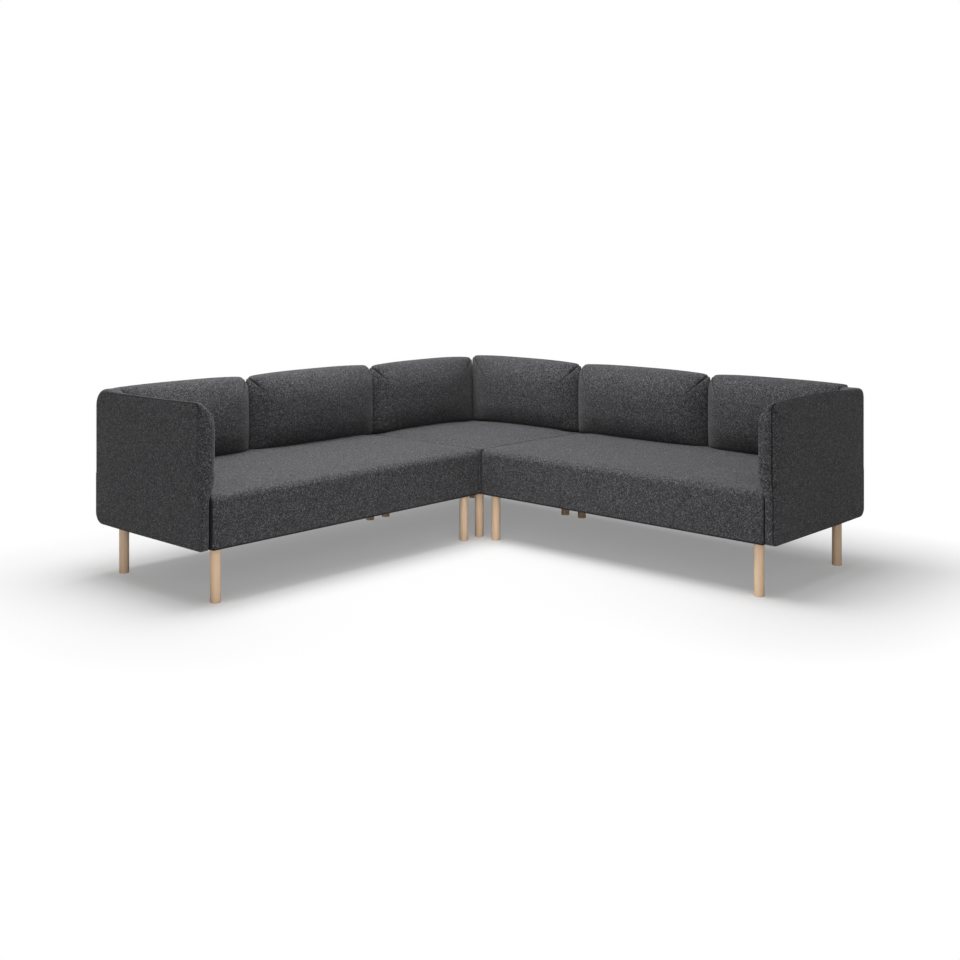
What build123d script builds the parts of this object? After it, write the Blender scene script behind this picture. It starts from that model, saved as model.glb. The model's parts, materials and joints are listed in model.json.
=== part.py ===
"""Corner modular sofa: a square corner module between two mirrored one-arm modules.

Sizes are in millimetres. The modules are drawn from the inner corner, where the two seat
fronts meet: X runs along the right wing, Y runs back from its seat front and Z is up.
The left wing is the right wing mirrored in the upright plane through that corner.
"""
from build123d import *
import math
import os

# Module sizes
module_depth = 760.0
wing_length = 1500.0
underside_height = 207.0

# Seat upholstery
seat_edge_height = 424.0
seat_end_crown = 3.0
seat_mid_crown = 10.0
seat_shelf_crown = 1.0
seat_rear_height = 418.0
seat_front_radius = 32.0
seat_seam_radius = 18.0
cover_wall = 15.0
seat_foam_clearance = 0.3

# Seat frame and suspension
rail_thickness = 25.0
rail_height = 85.0
block_height = 60.0
block_margin = 35.0
webbing_width = 50.0
webbing_thickness = 2.5
webbing_per_bay = 4
dust_cover_thickness = 1.5

# Legs, hanger bolts and levelling screws
leg_diameter = 40.0
leg_foot_radius = 2.0
leg_inset = 52.0
leg_rear_inset = 75.0
hanger_bolt_diameter = 8.0
hanger_bolt_in_leg = 40.0
hanger_bolt_in_block = 45.0
leveller_foot_diameter = 23.0
leveller_foot_height = 5.0
leveller_stem_diameter = 8.0
leveller_stem_length = 34.0
leveller_recess = 0.5
leveller_clearance = 0.5

# Arms
arm_height = 752.0
arm_base_thickness = 38.0
arm_pad_thickness = 34.0
arm_pad_underside = 440.0
arm_top_radius = 52.0
arm_foot_radius = 28.0
arm_inner_edge_radius = 22.0
arm_outer_edge_radius = 9.0
arm_board_thickness = 18.0
arm_board_cover = 9.0
arm_board_margin = 36.0
arm_bolt_diameter = 8.0
arm_bolt_head_diameter = 16.0
arm_bolt_head_height = 5.0
arm_bolt_in_board = 14.0
arm_bolt_front = 250.0
arm_bolt_rear = 520.0
arm_bolt_heights = (235.0, 275.0)

# Back pads and back boards
back_split = 752.0
pad_end_height = 753.0
pad_mid_height = 763.0
pad_end_depth = 84.0
pad_mid_depth = 132.0
pad_foot_set_in = 16.0
pad_brow_set_in = 12.0
pad_belly_rise = 150.0
pad_rear_radius = 26.0
pad_end_brow_radius = 34.0
pad_mid_brow_radius = 48.0
pad_end_radius = 20.0
mitre_gap = 6.0
mitre_bevel = 30.0
board_thickness = 15.0
board_height = 270.0
board_margin = 45.0
board_bottom_rise = 8.0
tongue_width = 60.0
tongue_inset = 105.0
tongue_drop = 70.0

# Screws for the back tongues and the link plates
screw_diameter = 4.5
screw_length = 18.0
screw_head_diameter = 9.0
screw_head_height = 3.0
tongue_screw_heights = (238.0, 272.0)

# Links between the modules
link_plate_length = 90.0
link_plate_width = 50.0
link_plate_thickness = 4.0
link_front = 230.0
link_rear = 540.0
link_screw_spacing = 30.0
link_pin_diameter = 10.0
link_pin_height = 24.0
link_pin_chamfer = 2.0
link_bush_wall = 2.5
link_bush_length = 28.0
link_pin_clearance = 0.2

# Fits
fit_gap = 0.3
thread_clearance = 0.05

# Worked out from the sizes above
corner_offset = (wing_length - module_depth) / 2
wing_seat_end = wing_length - arm_base_thickness - fit_gap
arm_inner_face = wing_length - arm_base_thickness - arm_pad_thickness
dust_cover_top = underside_height + dust_cover_thickness
frame_top = dust_cover_top + rail_height
cavity_top = frame_top + webbing_thickness + seat_foam_clearance
frame_inset = cover_wall + fit_gap
rear_rail_face = module_depth - frame_inset - rail_thickness
pad_bottom = seat_rear_height + fit_gap
board_bottom = pad_bottom + board_bottom_rise
board_top = board_bottom + board_height
tongue_bottom = frame_top - tongue_drop
end_rail_middle = frame_inset + rail_thickness / 2
link_plate_top = underside_height - fit_gap
diagonal = Plane(origin=(0, 0, 0), z_dir=(1, 1, 0))
half_turn_middle = math.sqrt(0.5)


def block(x_span, y_span, z_span):
    """A box from its spans along the three axes."""
    centre = [sum(span) / 2 for span in (x_span, y_span, z_span)]
    size = [span[1] - span[0] for span in (x_span, y_span, z_span)]
    return Pos(*centre) * Box(*size)


def post(x, y, diameter, z_span):
    """An upright round bar."""
    height = z_span[1] - z_span[0]
    return Pos(x, y, z_span[0] + height / 2) * Cylinder(diameter / 2, height)


def bar_along(direction, start, diameter, length):
    """A round bar from a start point along a direction."""
    return Plane(origin=start, z_dir=direction) * Cylinder(
        diameter / 2, length, align=(Align.CENTER, Align.CENTER, Align.MIN)
    )


def pan_screw(seat, direction):
    """A pan head screw whose head sits on the seat point, driven along the direction."""
    back = tuple(-part for part in direction)
    shank = bar_along(direction, seat, screw_diameter, screw_length)
    return shank + bar_along(back, seat, screw_head_diameter, screw_head_height)


def screw_hole(seat, direction):
    """The hole that a pan head screw runs in."""
    return bar_along(direction, seat, screw_diameter + 2 * thread_clearance, screw_length + fit_gap)


def seat_section(x, y_front, front_radius, edge_height, crown):
    """Seat outline across the depth: upright front, rounded edge, crown, flat rear shelf."""
    shoulder = edge_height - front_radius
    edge_end = y_front + front_radius
    shelf_start = module_depth - pad_mid_depth
    round_x = edge_end - front_radius * half_turn_middle
    round_z = shoulder + front_radius * half_turn_middle
    crown_y = (edge_end + shelf_start) / 2
    outline = [
        Line((y_front, underside_height), (y_front, shoulder)),
        ThreePointArc((y_front, shoulder), (round_x, round_z), (edge_end, edge_height)),
        ThreePointArc((edge_end, edge_height), (crown_y, edge_height + crown), (shelf_start, seat_rear_height)),
        Line((shelf_start, seat_rear_height), (module_depth, seat_rear_height)),
        Line((module_depth, seat_rear_height), (module_depth, underside_height)),
        Line((module_depth, underside_height), (y_front, underside_height)),
    ]
    plane = Plane(origin=(x, 0, 0), x_dir=(0, 1, 0), z_dir=(1, 0, 0))
    return plane * make_face(outline)


def rounded_seam(body, seam_x, front_radius):
    """The seat body with the top edge of its end at a module seam rounded."""
    end_face = body.faces().filter_by(Axis.X).sort_by(lambda face: abs(face.center().X - seam_x))[0]
    top_edges = [edge for edge in end_face.edges() if edge.center().Z > seat_rear_height - front_radius]
    long_edges = [edge for edge in top_edges if edge.length > front_radius * 2]
    return fillet(long_edges, seat_seam_radius)


def seat_pocket(x_start, x_end, y_front):
    """Pocket for the frame in the underside of a seat."""
    return block(
        (x_start + cover_wall, x_end - cover_wall),
        (y_front + cover_wall, module_depth - cover_wall),
        (underside_height, cavity_top),
    )


def wing_seat_cushion(x_start, x_end):
    """Crowned seat upholstery of a wing, with a pocket for the frame in its underside."""
    middle = (x_start + x_end) / 2
    sections = [
        seat_section(x_start, 0, seat_front_radius, seat_edge_height, seat_end_crown),
        seat_section(middle, 0, seat_front_radius, seat_edge_height, seat_mid_crown),
        seat_section(x_end, 0, seat_front_radius, seat_edge_height, seat_end_crown),
    ]
    body = rounded_seam(loft(sections), x_start, seat_front_radius)
    return body - seat_pocket(x_start, x_end, 0)


def corner_seat_cushion(x_start, x_end, y_front):
    """Crowned seat upholstery of the corner, with a flat shelf under each of its back pads."""
    shelf_end = x_start + pad_mid_depth
    middle = (shelf_end + x_end) / 2
    sections = [
        seat_section(shelf_end, y_front, seat_seam_radius, seat_rear_height, seat_shelf_crown),
        seat_section(middle, y_front, seat_seam_radius, seat_edge_height, seat_mid_crown),
        seat_section(x_end, y_front, seat_seam_radius, seat_edge_height, seat_end_crown),
    ]
    body = rounded_seam(loft(sections), x_end, seat_seam_radius)
    body += block((x_start, shelf_end), (y_front, module_depth), (underside_height, seat_rear_height))
    return body - seat_pocket(x_start, x_end, y_front)


def leg_places(x_first, x_last):
    """Front and rear leg centres of a module, from its two leg lines."""
    front = leg_inset
    rear = module_depth - leg_rear_inset
    return [(x_first, front), (x_last, front), (x_first, rear), (x_last, rear)]


def seat_frame(x_start, x_end, y_front, legs):
    """Glued rail frame with a middle rail and a block over each leg."""
    low_x = x_start + frame_inset
    high_x = x_end - frame_inset
    low_y = y_front + frame_inset
    high_y = module_depth - frame_inset
    heights = (dust_cover_top, frame_top)
    outside = block((low_x, high_x), (low_y, high_y), heights)
    inside_x = (low_x + rail_thickness, high_x - rail_thickness)
    inside_y = (low_y + rail_thickness, high_y - rail_thickness)
    frame = outside - block(inside_x, inside_y, heights)
    middle = (low_x + high_x) / 2
    frame += block((middle - rail_thickness / 2, middle + rail_thickness / 2), inside_y, heights)
    block_heights = (dust_cover_top, dust_cover_top + block_height)
    for x, y in legs:
        near_start = x - low_x < high_x - x
        near_front = y - low_y < high_y - y
        x_span = (inside_x[0], x + block_margin) if near_start else (x - block_margin, inside_x[1])
        y_span = (inside_y[0], y + block_margin) if near_front else (y - block_margin, inside_y[1])
        frame += block(x_span, y_span, block_heights)
    for x, y in legs:
        frame -= hanger_bolt_hole(x, y)
    return frame


def hanger_bolt_span():
    """Heights of a hanger bolt's two ends."""
    return (underside_height - hanger_bolt_in_leg, dust_cover_top + hanger_bolt_in_block)


def hanger_bolt_hole(x, y):
    """The hole for a hanger bolt through leg, dust cover and block."""
    low, high = hanger_bolt_span()
    return post(x, y, hanger_bolt_diameter + 2 * thread_clearance, (low - fit_gap, high + fit_gap))


def leg(x, y):
    """Turned leg with a hole for its bolt and a counterbore for its levelling screw."""
    body = post(x, y, leg_diameter, (0, underside_height))
    body = fillet(body.edges().group_by(Axis.Z)[0], leg_foot_radius)
    foot_bore = leveller_foot_diameter + 2 * leveller_clearance
    foot_top = leveller_recess + leveller_foot_height + fit_gap
    stem_bore = leveller_stem_diameter + 2 * thread_clearance
    stem_top = leveller_recess + leveller_foot_height + leveller_stem_length + fit_gap
    body -= post(x, y, foot_bore, (0, foot_top))
    body -= post(x, y, stem_bore, (0, stem_top))
    return body - hanger_bolt_hole(x, y)


def levelling_screw(x, y):
    """Round foot on a threaded stem, screwed fully into the leg."""
    foot_top = leveller_recess + leveller_foot_height
    foot = post(x, y, leveller_foot_diameter, (leveller_recess, foot_top))
    return foot + post(x, y, leveller_stem_diameter, (foot_top, foot_top + leveller_stem_length))


def dust_cover(x_start, x_end, y_front, legs):
    """Thin cloth sheet under the frame, pierced for the leg bolts."""
    sheet = block(
        (x_start + frame_inset, x_end - frame_inset),
        (y_front + frame_inset, module_depth - frame_inset),
        (underside_height, dust_cover_top),
    )
    for x, y in legs:
        sheet -= hanger_bolt_hole(x, y)
    return sheet


def webbing(y_front, bays):
    """Straps from the front rail to the rear rail, evenly spaced between the back tongues."""
    straps = []
    for first, last in bays:
        pitch = (last - first) / (webbing_per_bay + 1)
        for number in range(1, webbing_per_bay + 1):
            middle = first + number * pitch
            strap = block(
                (middle - webbing_width / 2, middle + webbing_width / 2),
                (y_front + frame_inset, module_depth - frame_inset),
                (frame_top, frame_top + webbing_thickness),
            )
            straps.append(strap)
    return straps


def back_board(x_span, tongues):
    """Upright board with two tongues that run down to the rear rail."""
    y_span = (rear_rail_face - board_thickness, rear_rail_face)
    board = block(x_span, y_span, (board_bottom, board_top))
    for middle in tongues:
        tongue_x = (middle - tongue_width / 2, middle + tongue_width / 2)
        board += block(tongue_x, y_span, (tongue_bottom, board_top))
    return board


def tongue_slot(middle):
    """Slot in the seat upholstery that a tongue passes through."""
    return block(
        (middle - tongue_width / 2 - fit_gap, middle + tongue_width / 2 + fit_gap),
        (rear_rail_face - board_thickness - fit_gap, rear_rail_face + fit_gap),
        (underside_height, seat_edge_height + seat_mid_crown),
    )


def board_pocket(x_span, tongues):
    """Pocket in a back pad that the board and its tongues fill."""
    y_span = (rear_rail_face - board_thickness - fit_gap, rear_rail_face + fit_gap)
    wide = (x_span[0] - fit_gap, x_span[1] + fit_gap)
    pocket = block(wide, y_span, (board_bottom - fit_gap, board_top + fit_gap))
    for middle in tongues:
        tongue_x = (middle - tongue_width / 2 - fit_gap, middle + tongue_width / 2 + fit_gap)
        pocket += block(tongue_x, y_span, (pad_bottom, board_top))
    return pocket


def tongue_screw_seats(tongues):
    """Places where the tongue screws' heads sit, on the front of each tongue."""
    y = rear_rail_face - board_thickness
    return [(middle, y, height) for middle in tongues for height in tongue_screw_heights]


def pad_section(plane, depth, height, brow_radius):
    """Back pad outline: flat rear and foot, rounded top, front that swells to its belly."""
    rear = pad_rear_radius
    brow = depth - pad_brow_set_in
    foot = depth - pad_foot_set_in
    swing = half_turn_middle
    at = {
        "rear_foot": (0, pad_bottom),
        "rear_shoulder": (0, height - rear),
        "rear_round": (rear - rear * swing, height - rear + rear * swing),
        "top_rear": (rear, height),
        "top_front": (brow - brow_radius, height),
        "brow_round": (brow - brow_radius + brow_radius * swing, height - brow_radius + brow_radius * swing),
        "brow": (brow, height - brow_radius),
        "belly": (depth, pad_bottom + pad_belly_rise),
        "front_foot": (foot, pad_bottom),
    }
    outline = [
        Line(at["rear_foot"], at["rear_shoulder"]),
        ThreePointArc(at["rear_shoulder"], at["rear_round"], at["top_rear"]),
        Line(at["top_rear"], at["top_front"]),
        ThreePointArc(at["top_front"], at["brow_round"], at["brow"]),
        ThreePointArc(at["brow"], at["belly"], at["front_foot"]),
        Line(at["front_foot"], at["rear_foot"]),
    ]
    return plane * make_face(outline)


def across_plane(x):
    """Plane across the wing at a place along it, drawn from the rear face forward."""
    return Plane(origin=(x, module_depth, 0), x_dir=(0, -1, 0), z_dir=(-1, 0, 0))


def back_pad(x_first, x_last, round_ends):
    """Back pad lofted from a slim end through a deep crown to the other slim end."""
    middle = (x_first + x_last) / 2
    sections = [
        pad_section(across_plane(x_first), pad_end_depth, pad_end_height, pad_end_brow_radius),
        pad_section(across_plane(middle), pad_mid_depth, pad_mid_height, pad_mid_brow_radius),
        pad_section(across_plane(x_last), pad_end_depth, pad_end_height, pad_end_brow_radius),
    ]
    body = loft(sections)
    for end_x in round_ends:
        end_face = body.faces().filter_by(Axis.X).sort_by(lambda face: abs(face.center().X - end_x))[0]
        edges = [edge for edge in end_face.edges() if edge.center().Z > pad_bottom + fit_gap]
        body = fillet(edges, pad_end_radius)
    return body


def mitred(pad):
    """A corner pad cut back to half the mitre gap off the diagonal, with its top edge bevelled."""
    waste_size = 2 * module_depth
    waste = Pos(0, 0, waste_size / 2) * Box(2 * waste_size, 2 * waste_size, waste_size)
    step = mitre_gap / 2 * half_turn_middle
    bevel_start = (step, step, pad_end_height - mitre_bevel)
    upright = Plane(origin=(step, step, 0), x_dir=(1, -1, 0), z_dir=(-1, -1, 0))
    sloping = Plane(origin=bevel_start, x_dir=(1, -1, 0), z_dir=(-1, -1, math.sqrt(2)))
    return pad - upright * waste - sloping * waste


def arm_outline(x, z_low, low_radius):
    """Arm side panel outline from the seat front to the rear, with rounded corners."""
    corners = [(0, z_low), (module_depth, z_low), (module_depth, arm_height), (0, arm_height)]
    radii = [low_radius, low_radius, arm_top_radius, arm_top_radius]
    plane = Plane(origin=(x, 0, 0), x_dir=(0, 1, 0), z_dir=(1, 0, 0))
    return plane * make_face(FilletPolyline(*corners, radius=radii, close=True))


def arm_bolt_seats():
    """Places where the arm bolts' heads sit, on the inside of the end rail."""
    x = wing_seat_end - frame_inset - rail_thickness
    return [(x, y, z) for y in (arm_bolt_front, arm_bolt_rear) for z in arm_bolt_heights]


def arm_bolt_length():
    """From the inside of the end rail into the arm board."""
    board_face = wing_length - arm_base_thickness + arm_board_cover
    return board_face + arm_bolt_in_board - arm_bolt_seats()[0][0]


def arm_bolt(seat):
    """Bolt with a low round head, driven outward into the arm board."""
    shank = bar_along((1, 0, 0), seat, arm_bolt_diameter, arm_bolt_length())
    return shank + bar_along((-1, 0, 0), seat, arm_bolt_head_diameter, arm_bolt_head_height)


def arm_bolt_hole(seat):
    """Hole for an arm bolt through rail, upholstery and board."""
    return bar_along((1, 0, 0), seat, arm_bolt_diameter + 2 * thread_clearance, arm_bolt_length() + fit_gap)


def arm_board_span():
    """Board inside the arm: its spans along the three axes."""
    face = wing_length - arm_base_thickness + arm_board_cover
    return (
        (face, face + arm_board_thickness),
        (arm_board_margin, module_depth - arm_board_margin),
        (underside_height, arm_height - arm_board_margin),
    )


def arm_pad():
    """Upholstered arm: a slim side panel with a deeper pad above the seat."""
    base = extrude(arm_outline(wing_length - arm_base_thickness, underside_height, arm_foot_radius), arm_base_thickness)
    inner = arm_outline(arm_inner_face, arm_pad_underside, arm_inner_edge_radius)
    body = base + extrude(inner, arm_pad_thickness)
    body = fillet(body.faces().sort_by(Axis.X)[0].edges(), arm_inner_edge_radius - fit_gap)
    body = fillet(body.faces().sort_by(Axis.X)[-1].edges(), arm_outer_edge_radius)
    pocket_spans = [(low - fit_gap, high + fit_gap) for low, high in arm_board_span()]
    body -= block(*pocket_spans)
    for seat in arm_bolt_seats():
        body -= arm_bolt_hole(seat)
    return body


def link_places():
    """Middles of the link plates along a module boundary."""
    return (link_front, link_rear)


def link_plate(y):
    """Plate under the boundary with a pin that stands up into the wing's end rail."""
    heights = (link_plate_top - link_plate_thickness, link_plate_top)
    half_length = link_plate_length / 2
    half_width = link_plate_width / 2
    plate = block((-half_length, half_length), (y - half_width, y + half_width), heights)
    pin = post(end_rail_middle, y, link_pin_diameter, (link_plate_top, link_plate_top + link_pin_height))
    plate += chamfer(pin.edges().group_by(Axis.Z)[-1], link_pin_chamfer)
    for seat in link_screw_seats(y):
        plate -= screw_hole(seat, (0, 0, 1))
    return plate


def link_screw_seats(y):
    """Places where the link screws' heads sit, under the plate."""
    low = link_plate_top - link_plate_thickness
    offsets = (-link_screw_spacing / 2, link_screw_spacing / 2)
    return [(-end_rail_middle, y + offset, low) for offset in offsets]


def link_bush(y):
    """Bush in the wing's end rail that the link pin drops out of when the wing is lifted."""
    bore = link_pin_diameter + 2 * link_pin_clearance
    outside = bore + 2 * link_bush_wall
    heights = (underside_height, underside_height + link_bush_length)
    return post(end_rail_middle, y, outside, heights) - post(end_rail_middle, y, bore, heights)


def link_bush_hole(y):
    """Hole in rail and dust cover for the bush, and for the pin above it."""
    bore = link_pin_diameter + 2 * link_pin_clearance
    outside = bore + 2 * (link_bush_wall + thread_clearance)
    return post(end_rail_middle, y, outside, (underside_height, underside_height + link_bush_length + fit_gap))


def wing_nodes():
    """Every piece of the right wing, by name."""
    x_start = fit_gap
    legs = leg_places(leg_inset, wing_length - arm_base_thickness - leg_inset)
    near_board = (board_margin, back_split - board_margin)
    far_board = (back_split + board_margin, arm_inner_face - board_margin)
    near_tongues = (near_board[0] + tongue_inset, near_board[1] - tongue_inset)
    far_tongues = (far_board[0] + tongue_inset, far_board[1] - tongue_inset)
    screw_seats = tongue_screw_seats(near_tongues + far_tongues)

    cushion = wing_seat_cushion(x_start, wing_seat_end)
    frame = seat_frame(x_start, wing_seat_end, 0, legs)
    cover = dust_cover(x_start, wing_seat_end, 0, legs)
    arm_core = block(*arm_board_span())
    boards = [back_board(near_board, near_tongues), back_board(far_board, far_tongues)]
    for middle in near_tongues + far_tongues:
        cushion -= tongue_slot(middle)
    for seat in screw_seats:
        frame -= screw_hole(seat, (0, 1, 0))
        boards = [board - screw_hole(seat, (0, 1, 0)) for board in boards]
    for seat in arm_bolt_seats():
        cushion -= arm_bolt_hole(seat)
        frame -= arm_bolt_hole(seat)
        arm_core -= arm_bolt_hole(seat)
    for y in link_places():
        frame -= link_bush_hole(y)
        cover -= link_bush_hole(y)

    near_pad = back_pad(fit_gap, back_split - fit_gap, [fit_gap, back_split - fit_gap])
    far_pad = back_pad(back_split + fit_gap, arm_inner_face - fit_gap, [back_split + fit_gap])
    nodes = {
        "seat_cushion": cushion,
        "seat_frame": frame,
        "seat_webbing": Compound(webbing(0, [near_tongues, far_tongues])),
        "dust_cover": cover,
        "leg_bolts": Compound([post(x, y, hanger_bolt_diameter, hanger_bolt_span()) for x, y in legs]),
        "arm_board": arm_core,
        "arm_pad": arm_pad(),
        "arm_bolts": Compound([arm_bolt(seat) for seat in arm_bolt_seats()]),
        "back_boards": Compound(boards),
        "back_pad_inner": near_pad - board_pocket(near_board, near_tongues),
        "back_pad_outer": far_pad - board_pocket(far_board, far_tongues),
        "frame_screws": Compound([pan_screw(seat, (0, 1, 0)) for seat in screw_seats]),
        "link_bushes": Compound([link_bush(y) for y in link_places()]),
    }
    nodes.update(leg_nodes(legs, ("inner_front", "outer_front", "inner_rear", "outer_rear")))
    return nodes


def leg_nodes(legs, names):
    """A leg and its levelling screw at each leg place, by name."""
    nodes = {}
    for (x, y), name in zip(legs, names):
        nodes["leg_" + name] = leg(x, y)
        nodes["leveller_" + name] = levelling_screw(x, y)
    return nodes


def corner_nodes():
    """Every piece of the corner module, by name."""
    legs = [
        (-leg_inset, leg_inset),
        (-module_depth + leg_rear_inset, leg_inset),
        (-leg_inset, module_depth - leg_rear_inset),
        (-module_depth + leg_rear_inset, module_depth - leg_rear_inset),
    ]
    board = (-module_depth + pad_mid_depth + board_margin, -board_margin)
    tongues = (board[0] + tongue_inset, board[1] - tongue_inset)
    cushion = corner_seat_cushion(-module_depth, -fit_gap, fit_gap)
    frame = seat_frame(-module_depth, -fit_gap, fit_gap, legs)
    right_board = back_board(board, tongues)
    right_pad = mitred(back_pad(-module_depth, -fit_gap, [-fit_gap])) - board_pocket(board, tongues)
    screw_seats = tongue_screw_seats(tongues)
    screws = [pan_screw(seat, (0, 1, 0)) for seat in screw_seats]
    plates = [link_plate(y) for y in link_places()]
    screw_holes = [screw_hole(seat, (0, 1, 0)) for seat in screw_seats]
    for seat in [seat for y in link_places() for seat in link_screw_seats(y)]:
        screws.append(pan_screw(seat, (0, 0, 1)))
        screw_holes.append(screw_hole(seat, (0, 0, 1)))
    screws += [mirror(screw, about=diagonal) for screw in screws]
    screw_holes += [mirror(hole, about=diagonal) for hole in screw_holes]
    slots = [tongue_slot(middle) for middle in tongues]
    slots += [mirror(slot, about=diagonal) for slot in slots]
    cover = dust_cover(-module_depth, -fit_gap, fit_gap, legs)
    for slot in slots:
        cushion -= slot
    for hole in screw_holes:
        frame -= hole
        cover -= hole
        right_board -= hole
    nodes = {
        "seat_cushion": cushion,
        "seat_frame": frame,
        "seat_webbing": Compound(webbing(fit_gap, [tongues])),
        "dust_cover": cover,
        "leg_bolts": Compound([post(x, y, hanger_bolt_diameter, hanger_bolt_span()) for x, y in legs]),
        "back_boards": Compound([right_board, mirror(right_board, about=diagonal)]),
        "back_pad_right": right_pad,
        "back_pad_left": mirror(right_pad, about=diagonal),
        "frame_screws": Compound(screws),
        "link_plates": Compound(plates + [mirror(plate, about=diagonal) for plate in plates]),
    }
    nodes.update(leg_nodes(legs, ("front", "left", "right", "rear")))
    return nodes


def main():
    """Place every piece about the middle of the floor area and write it."""
    os.makedirs("parts", exist_ok=True)
    to_centre = Pos(-corner_offset, corner_offset, 0)
    right = wing_nodes()
    pieces = {"corner_" + name: shape for name, shape in corner_nodes().items()}
    pieces.update({"right_" + name: shape for name, shape in right.items()})
    pieces.update({"left_" + name: mirror(shape, about=diagonal) for name, shape in right.items()})
    for name, shape in pieces.items():
        export_step(to_centre * shape, "parts/" + name + ".step")


main()
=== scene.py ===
"""Looks of the corner modular sofa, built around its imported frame. Sizes are in metres."""
import bmesh
import bpy
import json
import math
from mathutils import Matrix, Vector, noise as wave


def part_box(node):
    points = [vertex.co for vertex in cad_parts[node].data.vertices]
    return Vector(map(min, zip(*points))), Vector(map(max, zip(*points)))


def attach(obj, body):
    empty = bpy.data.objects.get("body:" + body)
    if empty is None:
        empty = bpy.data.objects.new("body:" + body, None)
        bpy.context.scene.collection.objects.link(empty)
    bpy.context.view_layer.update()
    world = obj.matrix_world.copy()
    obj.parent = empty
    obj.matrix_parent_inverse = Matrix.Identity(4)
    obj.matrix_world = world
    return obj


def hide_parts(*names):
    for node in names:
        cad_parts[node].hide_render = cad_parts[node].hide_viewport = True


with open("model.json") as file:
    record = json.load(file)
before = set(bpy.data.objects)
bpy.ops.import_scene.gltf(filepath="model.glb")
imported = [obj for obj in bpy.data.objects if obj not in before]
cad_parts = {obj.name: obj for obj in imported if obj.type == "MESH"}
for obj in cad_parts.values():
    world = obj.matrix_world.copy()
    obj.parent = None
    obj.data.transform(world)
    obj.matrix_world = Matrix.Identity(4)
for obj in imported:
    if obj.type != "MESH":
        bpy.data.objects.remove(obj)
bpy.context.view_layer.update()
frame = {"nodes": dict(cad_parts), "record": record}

# Seats
SEAT_FRONT_RADIUS = 0.028
SEAT_END_RADIUS = 0.016
SEAT_REAR_RADIUS = 0.012
SEAT_FOOT_RADIUS = 0.006
SEAT_FRONT_CUTS = 7
SEAT_REAR_CUTS = 3
SEAT_END_CUTS = 5
SEAT_FOOT_CUTS = 2
SEAT_EDGE_TOP = 0.413
SEAT_CROWN = 0.010
SEAT_CROWN_REACH = 0.16
SEAT_REAR_DROP = 0.003
SEAT_CORNER_DIP = 0.006
SEAT_TIP_DIP = 0.020
SEAT_CORNER_EDGE = 0.005
SEAT_CORNER_FRONT = 0.010
SEAT_CORNER_PUSH = 0.004
SEAT_CORNER_ZONE = 0.012
SEAT_JOINT_TUCK = 0.013
SEAT_JOINT_REACH = 0.036
SEAT_DIP_REACH = 0.10
SEAT_MOST_DROP = 0.003
# Painted shade along a seat's lower edge: scales the height above the foot, widening the dark band.
SEAT_FOOT_SHADE_SCALE = 0.5
SEAT_FRONT_SWELL = 0.003
SEAT_FRONT_REACH = 0.03
SEAT_TUCK_FOOT = 0.4
SEAT_LIFT_FROM = 0.375
SEAT_FILL = 0.9

# Back pads
PAD_END_ROUND = 0.100
PAD_EDGE_ROUND = 0.046
PAD_EDGE_FALL = 0.52
PAD_BROW_DEPTH = 0.085
PAD_BROW_HEIGHT = 0.115
PAD_REAR_ROUND = 0.020
PAD_FOOT_ROUND = 0.032
PAD_FOOT_EDGE = 0.004
PAD_ARM_END_ROUND = 0.016
PAD_CREASE_POWER = 2.6
PAD_DART_FADE = 0.08
PAD_DART_WIDTH = 0.007
PAD_SINK = 0.017
PAD_END_SHARE = 0.60
PAD_TOP_DROP = 0.011
PAD_ARM_DROP = 0.006
PAD_TOP_TRIM = 0.003
PAD_BELLY_RISE = 0.12
PAD_FOOT_SET_IN = 0.060
PAD_BROW_SET_IN = 0.034
PAD_BROW_POWER = 2.2
PAD_END_SET_IN = 0.25
PAD_CROWN_POWER = 3.0
PAD_SIDE_GAP = 0.0004
# Painted shade at a back pad's foot: dark at the seat, fading out upwards.
PAD_FOOT_SHADE_RISE = 0.040
PAD_FOOT_SHADE = 0.0020
PAD_MITRE_FOOT_DROP = 0.008
PAD_FILL = 0.8
# The darts and the corner pads of the two sides differ a little, as the photograph shows them.
PAD_DART_ENDS = {"left": 0.42, "right": 0.22}
PAD_CORNER_DROPS = {"left": 0.017, "right": 0.011}
PAD_CORNER_TRIMS = {"left": 0.008, "right": 0.003}

# Arms
ARM_FOOT_RADIUS = 0.028
ARM_REAR_FOOT_RADIUS = 0.046
ARM_EDGE_ROUND = 0.006
ARM_NOSE_ROUND = 0.040
ARM_NOSE_FOOT_ROUND = 0.014
ARM_CORNER_CUTS = 15
ARM_FOOT_CUTS = 5
ARM_JOIN_TURN = math.radians(42)
ARM_JOIN_MARGIN = 0.03
ARM_JOIN_REACH = 0.045
ARM_JOIN_STRENGTH = 0.8
ARM_EDGE_ZONE = 0.044
ARM_INNER_CUTS = (0.003, 0.007, 0.014, 0.021, 0.028)
ARM_NOSE_FROM = 0.02
ARM_NOSE_RISE = 0.22
ARM_TOP_INNER_ROUND = 0.066
ARM_REAR_EDGE_ROUND = 0.016
ARM_REAR_ZONE = 0.30
ARM_PAD_LINE = 0.98
ARM_PAD_RUN = 0.08
ARM_REAR_RUN = 0.32
ARM_FRONT_RUN = 0.66
ARM_ARCH_RUN = 0.645
ARM_LIFT_RUN = 0.5
ARM_PANEL_RUN = 0.12
ARM_BASE_THICKNESS = 0.038
ARM_STEP_LOW = 0.385
ARM_STEP_HIGH = 0.470
ARM_PAD_STEP_LOW = 0.4075
ARM_PAD_STEP_HIGH = 0.4120
ARM_SWELL = 0.004
ARM_SEAM_DEPTH = 0.003
ARM_SEAM_WIDTH = 0.003
ARM_FADE_FROM = 0.03
ARM_FADE_RUN = 0.05
ARM_FILL = 0.9
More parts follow.
